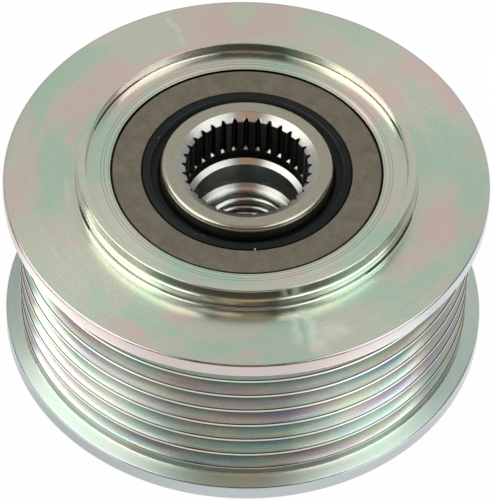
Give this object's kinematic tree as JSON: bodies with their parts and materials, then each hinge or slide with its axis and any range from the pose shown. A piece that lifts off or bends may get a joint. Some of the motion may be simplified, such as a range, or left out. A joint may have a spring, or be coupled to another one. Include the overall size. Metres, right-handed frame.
{
  "type": "overrunning alternator pulley",
  "caption": "Overrunning alternator pulley: a ribbed steel belt rim on ball bearings and a one-way roller clutch, round a splined and threaded hub.",
  "frame": {"origin": "centre of the rear rim face, on the pulley's axis", "axes": "+Z along the axis to the front, where the spline socket opens; +Y is the side the camera looks towards in the picture, away from the viewer; +X to the viewer's right"},
  "size_m": [0.0756, 0.0756, 0.0362],
  "materials": {
    "zinc_plated_steel": "turned steel with a thin iridescent zinc plating, a few dirt smears",
    "hub_steel": "turned and broached bare steel, slightly oiled",
    "phosphated_steel": "matt brown phosphate coat",
    "hardened_steel": "hardened and ground",
    "ball_steel": "polished bearing steel",
    "spring_steel": "rolled spring strip",
    "black_rubber": "moulded nitrile rubber with a faint satin sheen",
    "black_nylon": "moulded glass-filled nylon",
    "cage_nylon": "moulded natural nylon"
  },
  "bodies": {
    "rim": {"pulley": "zinc_plated_steel", "front_bearing_ring": "phosphated_steel", "rear_bearing_ring": "phosphated_steel", "clutch_ring": "hardened_steel", "clutch_cage": "black_nylon", "front_seal": "black_rubber", "rear_seal": "black_rubber", "clutch_roller_01": "ball_steel", "clutch_roller_02": "ball_steel", "clutch_roller_03": "ball_steel", "clutch_roller_04": "ball_steel", "clutch_roller_05": "ball_steel", "clutch_roller_06": "ball_steel", "clutch_roller_07": "ball_steel", "clutch_roller_08": "ball_steel", "clutch_roller_09": "ball_steel", "clutch_roller_10": "ball_steel", "clutch_spring_01": "spring_steel", "clutch_spring_02": "spring_steel", "clutch_spring_03": "spring_steel", "clutch_spring_04": "spring_steel", "clutch_spring_05": "spring_steel", "clutch_spring_06": "spring_steel", "clutch_spring_07": "spring_steel", "clutch_spring_08": "spring_steel", "clutch_spring_09": "spring_steel", "clutch_spring_10": "spring_steel"},
    "hub_shaft": {"hub": "hub_steel"},
    "front_balls": {"front_ball_cage": "cage_nylon", "front_ball_01": "ball_steel", "front_ball_02": "ball_steel", "front_ball_03": "ball_steel", "front_ball_04": "ball_steel", "front_ball_05": "ball_steel", "front_ball_06": "ball_steel", "front_ball_07": "ball_steel", "front_ball_08": "ball_steel", "front_ball_09": "ball_steel", "front_ball_10": "ball_steel", "front_ball_11": "ball_steel", "front_ball_12": "ball_steel", "front_ball_13": "ball_steel"},
    "rear_balls": {"rear_ball_cage": "cage_nylon", "rear_ball_01": "ball_steel", "rear_ball_02": "ball_steel", "rear_ball_03": "ball_steel", "rear_ball_04": "ball_steel", "rear_ball_05": "ball_steel", "rear_ball_06": "ball_steel", "rear_ball_07": "ball_steel", "rear_ball_08": "ball_steel", "rear_ball_09": "ball_steel", "rear_ball_10": "ball_steel", "rear_ball_11": "ball_steel", "rear_ball_12": "ball_steel", "rear_ball_13": "ball_steel"}
  },
  "joints": [
    {"name": "hub_spin", "type": "hinge", "parent": "rim", "child": "hub_shaft", "pos_m": [0, 0, 0.018], "axis": [0, 0, 1], "continuous": true},
    {"name": "front_cage_spin", "type": "hinge", "parent": "rim", "child": "front_balls", "pos_m": [0, 0, 0.0284], "axis": [0, 0, 1], "continuous": true},
    {"name": "rear_cage_spin", "type": "hinge", "parent": "rim", "child": "rear_balls", "pos_m": [0, 0, 0.0079], "axis": [0, 0, 1], "continuous": true}
  ],
  "couplings": [
    {"joint": "front_cage_spin", "follows": "hub_spin", "ratio": 0.4198},
    {"joint": "rear_cage_spin", "follows": "hub_spin", "ratio": 0.4198}
  ]
}
